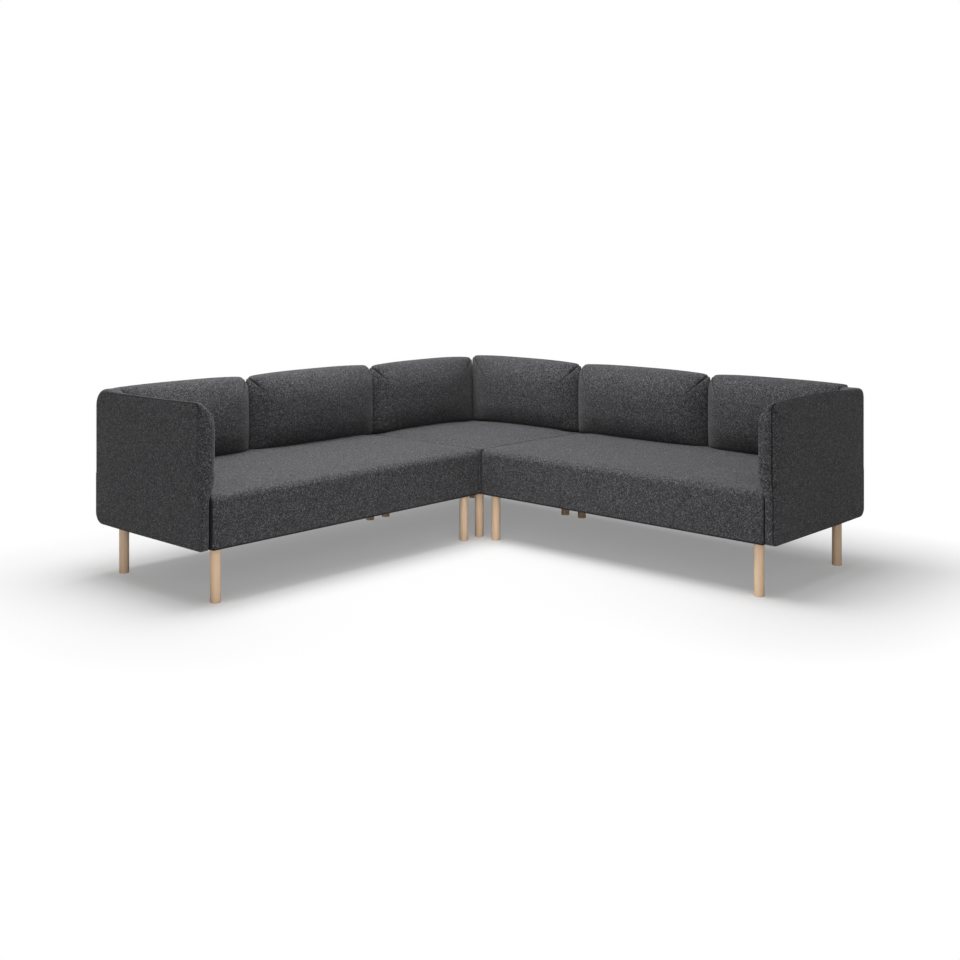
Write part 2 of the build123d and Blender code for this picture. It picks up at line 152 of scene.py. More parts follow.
# The two arms are sewn a little differently too.
ARMS = {
    "left": {
        "seam_turn": 90, "seam_fade": 0.2, "inner_round": 0.042, "inner_fall": 0.125,
        "top_radius": 0.060, "rear_radius": 0.072, "rear_rise": 0.009, "front_rise": 0.012, "arch": 0.0,
    },
    "right": {
        "seam_turn": 45, "seam_fade": 1.0, "inner_round": 0.012, "inner_fall": 0.115,
        "top_radius": 0.032, "rear_radius": 0.034, "rear_rise": -0.003, "front_rise": 0.0, "arch": 0.0075,
    },
}

# Cloth: yarns, flecks and other counts are per metre
YARNS = 420.0
FLECKS = 380.0
FLECK_POWER = 3.0
FLECK_STRETCHES = ((1.0, 1.0, 0.55), (0.55, 1.0, 1.0), (1.0, 0.55, 1.0))
FLECK_SHIFT = 0.37
FLECKS_APART = 19
STRAYS = 700.0
FLECK_STRAY = 0.0018
LARGE_FLECKS = 290.0
LARGE_FLECK_FROM = 0.82
LARGE_FLECK_TONE = 0.75
YARN_EDGE = 0.55
YARN_SHADE = (0.60, 1.1)
FUZZ = 1500.0
FUZZ_SHARE = 0.5
MOTTLE = 60.0
MOTTLE_SPAN = (0.92, 1.08)
PATCHES_APART = 3.0
# Painted shade: the cloth darkens within these distances of a seam, of a back pad's foot, of a seat's lower
# edge and of a wing seat's ends.
PAINTED_SHADE_SPAN = (0.0020, 0.0046)
PAINTED_SHADE_TONE = 0.04
CLOTH_DARK = (0.0106, 0.0106, 0.0112)
CLOTH_LIGHT = (0.191, 0.1897, 0.2004)

# Filling, by cloth simulation
CLOTH_PRESSURE = 4.0
CLOTH_STIFFNESS = 30.0
CLOTH_FRAMES = 20
CLOTH_QUALITY = 6
CLOTH_MASS = 0.3
CLOTH_BENDING = 4.0
HELD_END = 0.004
HELD_SIDE = 0.04
PAD_CAP = 0.008
SEAT_CAP = 0.006
ARM_CAP = 0.003
SETTLE = 0.0016
WAVE_SLOW = 7.0
WAVE_QUICK = 19.0
WAVE_QUICK_SHARE = 0.4
WAVE_SHIFT = Vector((7.0, 3.0, 5.0))

# Seams and mesh density
SEAM_OFFSETS = (0.0025, 0.0065)
SEAM_MARGIN = 0.001
SEAM_DEPTH = 0.006
ROUND_CUTS = 7
CLOTH_STEP = 0.022
SAME_PLACE = 1e-5
SHARP_TURN = math.radians(30)

# Camera, set from the photograph: level, with the lens shifted down
CAMERA_PLACE = Vector((3.531, -3.849, 1.345))
CAMERA_TURN = math.radians(42.62)
CAMERA_LENS = 47.25
CAMERA_SHIFT = (-0.003, -0.2449)

# Floor and light
FLOOR_REACH = 60.0
FLOOR_BOUNCE = 0.70
FLOOR_FADE = (0.05, 0.70)
FLOOR_TONE = 0.55
FLOOR_LIFT = 0.27
WORLD_STRENGTH = 0.0
# Each sun: name, heading, height and softness in degrees, strength.
SUNS = [
    ("overhead", 0.0, 90.0, 40.0, 0.46),
    ("left_rear", 180.0, 55.0, 50.0, 0.37),
    ("low_front", -47.0, 15.0, 60.0, 0.88),
]
# Each softbox: name, place, the place it faces, width, power.
SOFTBOXES = [
    ("ceiling_box", (0.2, -0.2, 3.4), (0.2, -0.2, 0.0), 3.0, 41.0),
    ("left_box", (-0.85, -0.25, 3.3), (-0.85, -0.25, 0.0), 2.0, 90.0),
    ("corner_box", (1.0, -1.0, 0.9), (-0.37, 0.37, 0.3), 1.0, 3.0),
]

# Mirror of the right wing in the upright plane through the corner
TO_LEFT = Matrix(((0, -1, 0, 0), (-1, 0, 0, 0), (0, 0, 1, 0), (0, 0, 0, 1)))


# Shader helpers

def add_node(tree, kind, **settings):
    """A new node with its settings."""
    node = tree.nodes.new(kind)
    for name, value in settings.items():
        setattr(node, name, value)
    return node


def feed(tree, value, socket):
    """Link a socket to an input, or set a plain value on it."""
    if isinstance(value, bpy.types.NodeSocket):
        tree.links.new(value, socket)
    else:
        socket.default_value = value


def calc(tree, operation, first, second=0.5, clamp=False):
    """A Math node's result."""
    node = add_node(tree, "ShaderNodeMath", operation=operation, use_clamp=clamp)
    feed(tree, first, node.inputs[0])
    feed(tree, second, node.inputs[1])
    return node.outputs[0]


def vector_calc(tree, operation, first, second=(0, 0, 0)):
    """A Vector Math node's vector result."""
    node = add_node(tree, "ShaderNodeVectorMath", operation=operation)
    feed(tree, first, node.inputs[0])
    feed(tree, second, node.inputs[1])
    return node.outputs[0]


def scaled(tree, vector, scale):
    """A vector times a number or a socket."""
    node = add_node(tree, "ShaderNodeVectorMath", operation="SCALE")
    feed(tree, vector, node.inputs[0])
    feed(tree, scale, node.inputs["Scale"])
    return node.outputs[0]


def noise(tree, vector, scale, detail=2.0, roughness=0.5):
    """A noise texture's value."""
    node = add_node(tree, "ShaderNodeTexNoise")
    feed(tree, vector, node.inputs["Vector"])
    feed(tree, scale, node.inputs["Scale"])
    node.inputs["Detail"].default_value = detail
    node.inputs["Roughness"].default_value = roughness
    return node.outputs["Fac"]


def spread(tree, value, low, high, to_low=0.0, to_high=1.0):
    """A value mapped from one span to another, clamped."""
    node = add_node(tree, "ShaderNodeMapRange")
    feed(tree, value, node.inputs["Value"])
    for name, number in (("From Min", low), ("From Max", high), ("To Min", to_low), ("To Max", to_high)):
        feed(tree, number, node.inputs[name])
    return node.outputs["Result"]


def tint(tree, factor, dark, light):
    """A colour between two colours."""
    node = add_node(tree, "ShaderNodeMix", data_type="RGBA")
    feed(tree, factor, node.inputs["Factor"])
    node.inputs["A"].default_value = (*dark, 1)
    node.inputs["B"].default_value = (*light, 1)
    colour = [socket for socket in node.outputs if socket.type == "RGBA"]
    return colour[0]


def new_group(name, inputs, outputs):
    """A shader node group with named sockets: its tree, input node and output node."""
    tree = bpy.data.node_groups.new(name, "ShaderNodeTree")
    for socket_name, kind in inputs:
        tree.interface.new_socket(socket_name, in_out="INPUT", socket_type="NodeSocket" + kind)
    for socket_name, kind in outputs:
        tree.interface.new_socket(socket_name, in_out="OUTPUT", socket_type="NodeSocket" + kind)
    return tree, tree.nodes.new("NodeGroupInput"), tree.nodes.new("NodeGroupOutput")


def use_group(tree, group, **values):
    """A group placed in a tree, with its inputs fed by name."""
    node = add_node(tree, "ShaderNodeGroup", node_tree=group)
    for name, value in values.items():
        feed(tree, value, node.inputs[name.replace("_", " ")])
    return node


# Shared surface effects

def heather_weave_group():
    """Plain weave of mixed light and dark yarns: tone of each crossing, and height."""
    tree, given, result = new_group(
        "heather_weave",
        [
            ("Cloth", "Vector"), ("Place", "Vector"),
            ("Yarns per metre", "Float"), ("Flecks per metre", "Float"),
        ],
        [("Tone", "Float"), ("Height", "Float")],
    )
    crossing = scaled(tree, given.outputs["Cloth"], given.outputs["Yarns per metre"])
    whole = vector_calc(tree, "FLOOR", crossing)
    part = vector_calc(tree, "FRACTION", crossing)
    split_whole = add_node(tree, "ShaderNodeSeparateXYZ")
    feed(tree, whole, split_whole.inputs[0])
    split_part = add_node(tree, "ShaderNodeSeparateXYZ")
    feed(tree, part, split_part.inputs[0])
    # Which yarn lies on top alternates from crossing to crossing.
    parity = calc(tree, "PINGPONG", calc(tree, "ADD", split_whole.outputs[0], split_whole.outputs[1]), 1.0)
    hump_across = calc(tree, "SINE", calc(tree, "MULTIPLY", split_part.outputs[0], math.pi))
    hump_along = calc(tree, "SINE", calc(tree, "MULTIPLY", split_part.outputs[1], math.pi))
    weft = calc(tree, "MULTIPLY", hump_along, spread(tree, hump_across, 0, 1, YARN_EDGE, 1))
    warp = calc(tree, "MULTIPLY", hump_across, spread(tree, hump_along, 0, 1, YARN_EDGE, 1))
    weft_over = calc(tree, "MULTIPLY", weft, parity)
    warp_over = calc(tree, "MULTIPLY", warp, calc(tree, "SUBTRACT", 1.0, parity))
    over = calc(tree, "ADD", weft_over, warp_over)
    fuzz = noise(tree, given.outputs["Place"], FUZZ, 2.0, 0.6)
    # Light fibres show as short flecks in three directions, a little out of line.
    stray = add_node(tree, "ShaderNodeTexNoise")
    feed(tree, given.outputs["Place"], stray.inputs["Vector"])
    stray.inputs["Scale"].default_value = STRAYS
    aside = scaled(tree, stray.outputs["Color"], FLECK_STRAY)
    strayed = vector_calc(tree, "ADD", given.outputs["Place"], aside)
    fleck = 0.0
    for number, stretch in enumerate(FLECK_STRETCHES):
        stretched = vector_calc(tree, "MULTIPLY", strayed, stretch)
        grid = scaled(tree, stretched, given.outputs["Flecks per metre"])
        shift = FLECK_SHIFT + FLECKS_APART * number
        corner = vector_calc(tree, "FLOOR", vector_calc(tree, "ADD", grid, (shift, shift, shift)))
        cell = add_node(tree, "ShaderNodeTexWhiteNoise", noise_dimensions="3D")
        feed(tree, corner, cell.inputs["Vector"])
        bright = calc(tree, "POWER", cell.outputs["Value"], FLECK_POWER)
        fleck = calc(tree, "ADD", calc(tree, "MULTIPLY", bright, 1 / len(FLECK_STRETCHES)), fleck)
    large = add_node(tree, "ShaderNodeTexWhiteNoise", noise_dimensions="3D")
    feed(tree, vector_calc(tree, "FLOOR", scaled(tree, strayed, LARGE_FLECKS)), large.inputs["Vector"])
    knots = spread(tree, large.outputs["Value"], LARGE_FLECK_FROM, 1.0, 0.0, LARGE_FLECK_TONE)
    fleck = calc(tree, "ADD", fleck, knots)
    cloudy = noise(tree, given.outputs["Place"], MOTTLE, 3.0, 0.6)
    mottle = spread(tree, cloudy, 0.25, 0.75, *MOTTLE_SPAN)
    # Painted shade: each yarn darkens where it dips under the crossing yarn.
    shade = spread(tree, over, 0.0, 1.0, *YARN_SHADE)
    tone = calc(tree, "MULTIPLY", calc(tree, "MULTIPLY", fleck, mottle), shade)
    tree.links.new(tone, result.inputs["Tone"])
    height = calc(tree, "ADD", over, calc(tree, "MULTIPLY", fuzz, FUZZ_SHARE))
    tree.links.new(height, result.inputs["Height"])
    return tree


def wood_grain_group():
    """Straight grain along Z: soft bands, and short dark rays."""
    tree, given, result = new_group(
        "wood_grain",
        [("Place", "Vector"), ("Band size", "Float"), ("Ray amount", "Float")],
        [("Tone", "Float"), ("Height", "Float")],
    )
    stretch = vector_calc(tree, "MULTIPLY", given.outputs["Place"], (1.0, 1.0, 0.035))
    bands = noise(tree, stretch, given.outputs["Band size"], 4.0, 0.55)
    rays_place = vector_calc(tree, "MULTIPLY", given.outputs["Place"], (1.0, 1.0, 0.18))
    rays = spread(tree, noise(tree, rays_place, 1300.0, 1.0, 0.5), 0.56, 0.70)
    rays = calc(tree, "MULTIPLY", rays, given.outputs["Ray amount"])
    tone = calc(tree, "SUBTRACT", spread(tree, bands, 0.3, 0.7), rays, clamp=True)
    tree.links.new(tone, result.inputs["Tone"])
    tree.links.new(tone, result.inputs["Height"])
    return tree


def fine_wear_group():
    """Faint handling marks: a cloudy mask, and fine grain for the roughness."""
    tree, given, result = new_group(
        "fine_wear",
        [("Place", "Vector"), ("Cloud size", "Float")],
        [("Cloud", "Float"), ("Grain", "Float")],
    )
    cloud = noise(tree, given.outputs["Place"], given.outputs["Cloud size"], 4.0, 0.6)
    tree.links.new(cloud, result.inputs["Cloud"])
    tree.links.new(noise(tree, given.outputs["Place"], 900.0, 2.0, 0.6), result.inputs["Grain"])
    return tree


# Materials

def new_material(name):
    """A material with its tree and Principled shader."""
    material = bpy.data.materials.new(name)
    material.use_nodes = True
    tree = material.node_tree
    return material, tree, tree.nodes["Principled BSDF"]


def bumped(tree, shader, height, strength, distance):
    """Feed a height to the shader's normal."""
    node = add_node(tree, "ShaderNodeBump")
    node.inputs["Strength"].default_value = strength
    node.inputs["Distance"].default_value = distance
    tree.links.new(height, node.inputs["Height"])
    tree.links.new(node.outputs["Normal"], shader.inputs["Normal"])


def place_of(tree):
    """Object coordinates."""
    return add_node(tree, "ShaderNodeTexCoord").outputs["Object"]


def charcoal_cloth():
    """Heathered charcoal wool upholstery, woven along the piece's own UV map, with painted shade along its
    seams, up the back pads' feet, along the seats' lower edges and at the wing seats' ends.
    """
    material, tree, shader = new_material("charcoal_cloth")
    cloth = add_node(tree, "ShaderNodeUVMap", uv_map="cloth").outputs["UV"]
    weave = use_group(
        tree, GROUPS["weave"], Cloth=cloth, Place=place_of(tree),
        Yarns_per_metre=YARNS, Flecks_per_metre=FLECKS,
    )
    # Painted shade: "seam" holds each place's distance to a seam, a pad's foot or a seat's edge, and "sewn"
    # how strongly the shade is painted there.
    distance = add_node(tree, "ShaderNodeAttribute", attribute_name="seam").outputs["Fac"]
    strength = add_node(tree, "ShaderNodeAttribute", attribute_name="sewn").outputs["Fac"]
    line = spread(tree, calc(tree, "ABSOLUTE", distance), *PAINTED_SHADE_SPAN, 1.0, 0.0)
    seam = calc(tree, "MULTIPLY", line, strength)
    tone = calc(tree, "MULTIPLY", weave.outputs["Tone"], spread(tree, seam, 0.0, 1.0, 1.0, PAINTED_SHADE_TONE))
    tree.links.new(tint(tree, tone, CLOTH_DARK, CLOTH_LIGHT), shader.inputs["Base Color"])
    tree.links.new(spread(tree, weave.outputs["Height"], 0, 1.5, 1.0, 0.82), shader.inputs["Roughness"])
    bumped(tree, shader, weave.outputs["Height"], 0.6, 0.0006)
    shader.inputs["Sheen Weight"].default_value = 0.10
    shader.inputs["Sheen Roughness"].default_value = 0.5
    shader.inputs["Specular IOR Level"].default_value = 0.2
    return material


def wood(name, dark, light, band_size, ray_amount, roughness):
    """A timber finish with its own tones, band width and rays."""
    material, tree, shader = new_material(name)
    grain = use_group(tree, GROUPS["grain"], Place=place_of(tree), Band_size=band_size, Ray_amount=ray_amount)
    tree.links.new(tint(tree, grain.outputs["Tone"], dark, light), shader.inputs["Base Color"])
    dullness = spread(tree, grain.outputs["Tone"], 0, 1, roughness + 0.08, roughness)
    tree.links.new(dullness, shader.inputs["Roughness"])
    bumped(tree, shader, grain.outputs["Height"], 0.12, 0.0003)
    return material


def dark_textile(name, colour, light, yarns):
    """Black woven goods under the seats: dust cloth and webbing."""
    material, tree, shader = new_material(name)
    place = place_of(tree)
    weave = use_group(
        tree, GROUPS["weave"], Cloth=place, Place=place, Yarns_per_metre=yarns, Flecks_per_metre=yarns,
    )
    tree.links.new(tint(tree, weave.outputs["Tone"], colour, light), shader.inputs["Base Color"])
    bumped(tree, shader, weave.outputs["Height"], 0.4, 0.0004)
    shader.inputs["Roughness"].default_value = 0.9
    return material


def hard_finish(name, colour, worn, metallic, roughness):
    """Plated, coated or moulded hardware with faint handling marks."""
    material, tree, shader = new_material(name)
    wear = use_group(tree, GROUPS["wear"], Place=place_of(tree), Cloud_size=60.0)
    tree.links.new(tint(tree, wear.outputs["Cloud"], colour, worn), shader.inputs["Base Color"])
    dullness = spread(tree, wear.outputs["Grain"], 0.3, 0.7, roughness, roughness + 0.15)
    tree.links.new(dullness, shader.inputs["Roughness"])
    bumped(tree, shader, wear.outputs["Grain"], 0.08, 0.0002)
    shader.inputs["Metallic"].default_value = metallic
    return material


# Mesh helpers

def block(low, high):
    """A bmesh box between two corners."""
    bm = bmesh.new()
    size = Vector(high) - Vector(low)
    place = Matrix.Translation((Vector(low) + Vector(high)) / 2) @ Matrix.Diagonal((*size, 1))
    bmesh.ops.create_cube(bm, size=1.0, matrix=place)
    bm.verts.layers.float.new("seam")
    bm.verts.layers.float.new("sewn")
    return bm


def edges_where(bm, test):
    """Edges whose two ends pass a test on the place."""
    return [edge for edge in bm.edges if all(test(vert.co) for vert in edge.verts)]


def round_over(bm, edges, radius, segments):
    """Round edges to a radius."""
    bmesh.ops.bevel(
        bm, geom=edges, offset=radius, offset_type="OFFSET", segments=segments, profile=0.5,
        affect="EDGES", clamp_overlap=True, material=-1,
    )


def near(first, second, margin=SAME_PLACE):
    """Whether two numbers agree."""
    return abs(first - second) < margin


def cut_at(bm, axis, places):
    """Cut a loop across an axis at each place."""
    normal = Vector([1.0 if index == axis else 0.0 for index in range(3)])
    for place in places:
        everything = bm.verts[:] + bm.edges[:] + bm.faces[:]
        bmesh.ops.bisect_plane(bm, geom=everything, plane_co=normal * place, plane_no=normal, dist=SAME_PLACE)


def slice_across(bm, axis, low, high, step):
    """Cut loops across an axis, evenly spaced."""
    count = max(2, round((high - low) / step))
    cut_at(bm, axis, [low + (high - low) * number / count for number in range(1, count)])


def stations(low, high, low_zone, high_zone, step, seams=()):
    """Places for cut loops along an axis: close together in the rounded zones, wider between them."""
    places = []
    for count in range(1, ROUND_CUTS + 1):
        places.append(low + low_zone * count / ROUND_CUTS)
        places.append(high - high_zone * count / ROUND_CUTS)
    for offset in seams:
        places += [low + offset, high - offset]
    inner_low, inner_high = low + low_zone, high - high_zone
    spans = max(1, round((inner_high - inner_low) / step))
    places += [inner_low + (inner_high - inner_low) * number / spans for number in range(1, spans)]
    return sorted(places)


def blend(first, second, share):
    """A value between two values."""
    return first + (second - first) * share


def past_rounds(place, low, high, rounds):
    """How far a place on a box's skin lies into each axis's rounded zone, from 0 to 1."""
    middle = (low + high) / 2
    half = (high - low) / 2
    return Vector([
        max(0.0, abs(place[axis] - middle[axis]) - (half[axis] - rounds[axis])) / rounds[axis]
        for axis in range(3)
    ])


def rounded_by(place, low, high, rounds):
    """A place on a box's skin, moved onto the rounded box; rounds holds a radius for each axis."""
    middle = (low + high) / 2
    past = past_rounds(place, low, high, rounds)
    creased = (past.x ** PAD_CREASE_POWER + past.z ** PAD_CREASE_POWER) ** (1 / PAD_CREASE_POWER)
    length = math.hypot(creased, past.y)
    shrink = max(past) / length - 1 if length > 0 else 0.0
    return Vector([
        place[axis] + math.copysign(1.0, place[axis] - middle[axis]) * past[axis] * shrink * rounds[axis]
        for axis in range(3)
    ])


def sew(bm, seams, depth, width):
    """Press a groove along a seam and note it for the cloth, which paints shade along it.

    seams holds, for each vertex, its distance to the seam, positive on one side, and the seam's strength,
    which sets both the groove's depth and the painted shade.
    """
    distance_layer = bm.verts.layers.float["seam"]
    strength_layer = bm.verts.layers.float["sewn"]
    bm.normal_update()
    moves = {}
    for vert, (distance, strength) in seams.items():
        vert[distance_layer] = distance
        vert[strength_layer] = strength
        moves[vert] = vert.normal * -depth * strength * math.exp(-(distance / width) ** 2)
    for vert, move in moves.items():
        vert.co += move


def lay_cloth(bm):
    """UV map in metres: each face takes the two axes that it faces least."""
    layer = bm.loops.layers.uv.new("cloth")
    for face in bm.faces:
        facing = max(range(3), key=lambda axis: abs(face.normal[axis]))
        across, along = [axis for axis in range(3) if axis != facing]
        for loop in face.loops:
            place = loop.vert.co
            loop[layer].uv = (place[across] + PATCHES_APART * facing, place[along])


def ease(value):
    """A smooth step from 0 to 1."""
    value = min(max(value, 0.0), 1.0)
    return value * value * (3 - 2 * value)


def mirrored(bm):
    """A copy of a right wing shape, turned into the left wing's."""
    copy = bm.copy()
    bmesh.ops.transform(copy, matrix=TO_LEFT, verts=copy.verts)
    bmesh.ops.reverse_faces(copy, faces=copy.faces)
    return copy


def settle(bm, held, amount):
    """Small slow waves over a soft piece, as cut foam and stretched cloth have."""
    bm.normal_update()
    moves = {}
    for vert in bm.verts:
        if held(vert.co):
            continue
        slow = wave.noise(vert.co * WAVE_SLOW)
        quick = wave.noise(vert.co * WAVE_QUICK + WAVE_SHIFT)
        moves[vert] = vert.normal * amount * (slow + WAVE_QUICK_SHARE * quick)
    for vert, move in moves.items():
        vert.co += move


def fill_out(bm, held, cap):
    """Swell a piece under its cover with a cloth simulation.

    held says which vertices stay where they are, and cap is the longest move.
    """
    scene = bpy.context.scene
    bm.normal_update()
    sewn = bm.verts.layers.float["sewn"]
    seam = bm.verts.layers.float["seam"]
    fixed = [held(vert.co) or (vert[sewn] > 0.5 and abs(vert[seam]) < SEAM_MARGIN) for vert in bm.verts]
    for vert, stays in zip(bm.verts, fixed):
        if not stays:
            vert.co -= vert.normal * cap / 2
    mesh = bpy.data.meshes.new("filling")
    bm.to_mesh(mesh)
    shrunk = [vert.co.copy() for vert in bm.verts]
    piece = bpy.data.objects.new("filling", mesh)
    scene.collection.objects.link(piece)
    group = piece.vertex_groups.new(name="held")
    group.add([index for index, stays in enumerate(fixed) if stays], 1.0, "REPLACE")
    cloth = piece.modifiers.new("cloth", "CLOTH")
    cloth.settings.vertex_group_mass = "held"
    cloth.settings.quality = CLOTH_QUALITY
    cloth.settings.mass = CLOTH_MASS
    cloth.settings.tension_stiffness = CLOTH_STIFFNESS
    cloth.settings.compression_stiffness = CLOTH_STIFFNESS
    cloth.settings.shear_stiffness = CLOTH_STIFFNESS / 3
    cloth.settings.bending_stiffness = CLOTH_BENDING
    cloth.settings.use_pressure = True
    cloth.settings.uniform_pressure_force = CLOTH_PRESSURE
    cloth.settings.effector_weights.gravity = 0.0
    cloth.collision_settings.use_collision = False
    cloth.point_cache.frame_start = 1
    cloth.point_cache.frame_end = CLOTH_FRAMES
    for number in range(1, CLOTH_FRAMES + 1):
        scene.frame_set(number)
    swollen = piece.evaluated_get(bpy.context.evaluated_depsgraph_get()).data
    for vert, before, after in zip(bm.verts, shrunk, swollen.vertices):
        move = after.co - before
        if move.length > cap:
            move *= cap / move.length
        vert.co = before + move
    scene.frame_set(1)
    bpy.data.objects.remove(piece)
    bpy.data.meshes.remove(mesh)


def upholster(name, bm, node, body, slot, fill):
    """Turn a shaped bmesh into a soft piece that stands for its CAD solid."""
    mesh = bpy.data.meshes.new(name)
    bm.to_mesh(mesh)
    bm.free()
    mesh.shade_smooth()
    mesh.materials.append(MATERIALS[slot])
    piece = bpy.data.objects.new(name, mesh)
    bpy.context.scene.collection.objects.link(piece)
    smooth = piece.modifiers.new("smooth", "SUBSURF")
    smooth.levels = 1
    smooth.render_levels = 1
    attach(piece, body)
    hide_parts(node)
    return piece


# Soft pieces, shaped in the right wing's place

def seat_shape(node, front_radius, in_corner=False):
    """A tight box seat: rounded front, crowned top that dips at its edges and towards its rear."""
    low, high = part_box(node)
    top = SEAT_EDGE_TOP
    high = Vector((high.x, high.y, top))
    bm = block(low, high)
    front = edges_where(bm, lambda p: near(p.y, low.y) and near(p.z, top))
    round_over(bm, front, front_radius, SEAT_FRONT_CUTS)
    rear = edges_where(bm, lambda p: near(p.y, high.y) and near(p.z, top))
    round_over(bm, rear, SEAT_REAR_RADIUS, SEAT_REAR_CUTS)
    ends = edges_where(bm, lambda p: near(p.x, low.x)) + edges_where(bm, lambda p: near(p.x, high.x))
    round_over(bm, ends, SEAT_CORNER_EDGE if in_corner else SEAT_END_RADIUS, SEAT_END_CUTS)
    foot = [
        edge for edge in edges_where(bm, lambda p: near(p.z, low.z))
        if len(edge.link_faces) == 2 and edge.calc_face_angle() > SHARP_TURN
    ]
    round_over(bm, foot, SEAT_FOOT_RADIUS, SEAT_FOOT_CUTS)
    slice_across(bm, 0, low.x, high.x, CLOTH_STEP)
    slice_across(bm, 1, low.y, high.y, CLOTH_STEP)
    slice_across(bm, 2, low.z, high.z, CLOTH_STEP)
    bm.normal_update()
    lay_cloth(bm)
    seam = bm.verts.layers.float["seam"]
    sewn = bm.verts.layers.float["sewn"]
    for vert in bm.verts:
        place = vert.co
        off_ends = [place.x - low.x, high.x - place.x]
        rearward = ease((place.y - low.y) / (high.y - low.y) * 2 - 1)
        dip = 0.0
        if in_corner:
            sideward = ease((high.x - place.x) / (high.x - low.x) * 2 - 1)
            dip = SEAT_TIP_DIP * rearward * sideward
            dip += SEAT_CORNER_DIP * sideward * (1 - ease((place.y - low.y) / SEAT_DIP_REACH))
            rearward = max(rearward, sideward)
            off_ends = [high.x - place.x]
        rise = ease(min(off_ends + [place.y - low.y]) / SEAT_CROWN_REACH) * SEAT_CROWN
        at_end = 1 - ease(min(off_ends) / SEAT_DIP_REACH)
        drop = rearward * (SEAT_REAR_DROP + SEAT_CORNER_DIP * at_end)
        drop = min(drop, rise + SEAT_MOST_DROP) + dip
        upper = ease(((place.z - low.z) / (top - low.z) - SEAT_LIFT_FROM) / (1 - SEAT_LIFT_FROM))
        vert.co.z += (rise - drop) * upper
        swell = math.sin(math.pi * (place.z - low.z) / (top - low.z)) * SEAT_FRONT_SWELL
        vert.co.y -= swell * (1 - ease((place.y - low.y) / SEAT_FRONT_REACH))
        # Painted shade along the seat's lower edge and, on a wing seat, at its two ends where the modules
        # meet: the cloth darkens near them.
        edges = [(place.z - low.z) * SEAT_FOOT_SHADE_SCALE]
        if in_corner:
            off_edge = max(high.x - place.x, place.y - low.y)
            push = SEAT_CORNER_PUSH * max(0.0, 1 - off_edge / SEAT_CORNER_ZONE)
            vert.co += Vector((push, -push, 0.0))
        else:
            edges += off_ends
            tuck = SEAT_JOINT_TUCK * max(0.0, 1 - (place.x - low.x) / SEAT_JOINT_REACH) ** 2
            tuck *= blend(SEAT_TUCK_FOOT, 1.0, (place.z - low.z) / (top - low.z))
            vert.co.y += tuck * (1 - ease((place.y - low.y) / SEAT_FRONT_REACH))
        vert[seam] = min(edges)
        vert[sewn] = 1.0
    return bm


def pad_shape(node, end_rounds, end_drops, dart_end, mitre=False, trim=PAD_TOP_TRIM):
    """A back pad: flat rear, full front, a seam along each end's top edge that stops at the brow, painted
    shade at the foot.

    end_rounds and end_drops hold the top edge's radius and fall at the low and the high end along X. dart_end
    is the part of the rounded corner that the seam leaves free.
    """
    low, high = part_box(node)
    low = Vector((low.x + PAD_SIDE_GAP, low.y, low.z - PAD_SINK))
    high = Vector((high.x - PAD_SIDE_GAP, high.y, high.z - trim))
    size = high - low
    bm = block(low, high)
    cut_at(bm, 0, stations(low.x, high.x, PAD_END_ROUND, PAD_END_ROUND, CLOTH_STEP, SEAM_OFFSETS))
    cut_at(bm, 1, stations(low.y, high.y, PAD_BROW_DEPTH, PAD_REAR_ROUND, CLOTH_STEP))
    cut_at(bm, 2, stations(low.z, high.z, PAD_FOOT_ROUND, PAD_BROW_HEIGHT, CLOTH_STEP, SEAM_OFFSETS))
    bm.normal_update()
    lay_cloth(bm)
    seam = bm.verts.layers.float["seam"]
    sewn = bm.verts.layers.float["sewn"]
    seams = {}
    for vert in bm.verts:
        place = vert.co.copy()
        forward = (high.y - place.y) / size.y
        up = (place.z - low.z) / size.z
        end = 0 if place.x < (low.x + high.x) / 2 else 1
        edge_round = end_rounds[end]
        fullness = ease(forward)
        if up > 0.5:
            height_round = blend(edge_round * PAD_EDGE_FALL, PAD_BROW_HEIGHT, fullness)
        else:
            height_round = blend(PAD_FOOT_EDGE, PAD_FOOT_ROUND, fullness)
        depth_round = PAD_BROW_DEPTH if forward > 0.5 else PAD_REAR_ROUND
        rounds = (blend(edge_round, PAD_END_ROUND, fullness), depth_round, height_round)
        past = past_rounds(place, low, high, rounds)
        # The dart seam: pressed as a groove, with painted shade along it.
        if up > 0.5:
            strength = 0.0
            if edge_round > PAD_ARM_END_ROUND:
                strength = ease((max(past.x, past.z) - dart_end) / PAD_DART_FADE)
            seams[vert] = ((past.x - past.z) * rounds[0], strength)
        place = rounded_by(place, low, high, rounds)
        forward = (high.y - place.y) / size.y
        crown = 1 - abs(2 * (place.x - low.x) / size.x - 1) ** PAD_CROWN_POWER
        rise = place.z - low.z
        if rise < PAD_BELLY_RISE:
            set_in = PAD_FOOT_SET_IN * (1 - rise / PAD_BELLY_RISE) ** 2
        else:
            above = (rise - PAD_BELLY_RISE) / (size.z - PAD_BELLY_RISE)
            set_in = PAD_BROW_SET_IN * above ** PAD_BROW_POWER
        end_reach = size.y * PAD_END_SHARE - set_in * PAD_END_SET_IN
        place.y = high.y - forward * blend(end_reach, size.y - set_in, crown)
        place.z -= up * (1 - crown) * end_drops[end]
        if mitre and end == 0:
            place.z -= (1 - up) * (1 - crown) * PAD_MITRE_FOOT_DROP
        vert.co = place
    sew(bm, seams, SEAM_DEPTH, PAD_DART_WIDTH)
    # Painted shade on the pad's lower half: darkest at the foot, fading out upwards.
    for vert in bm.verts:
        if vert not in seams:
            vert[seam] = PAD_FOOT_SHADE + (vert.co.z - low.z) * PAD_FOOT_SHADE_RISE
            vert[sewn] = 1.0
    if mitre:
        for vert in bm.verts:
            vert.co.x = blend(-vert.co.y, high.x, (vert.co.x - low.x) / size.x)
    return bm


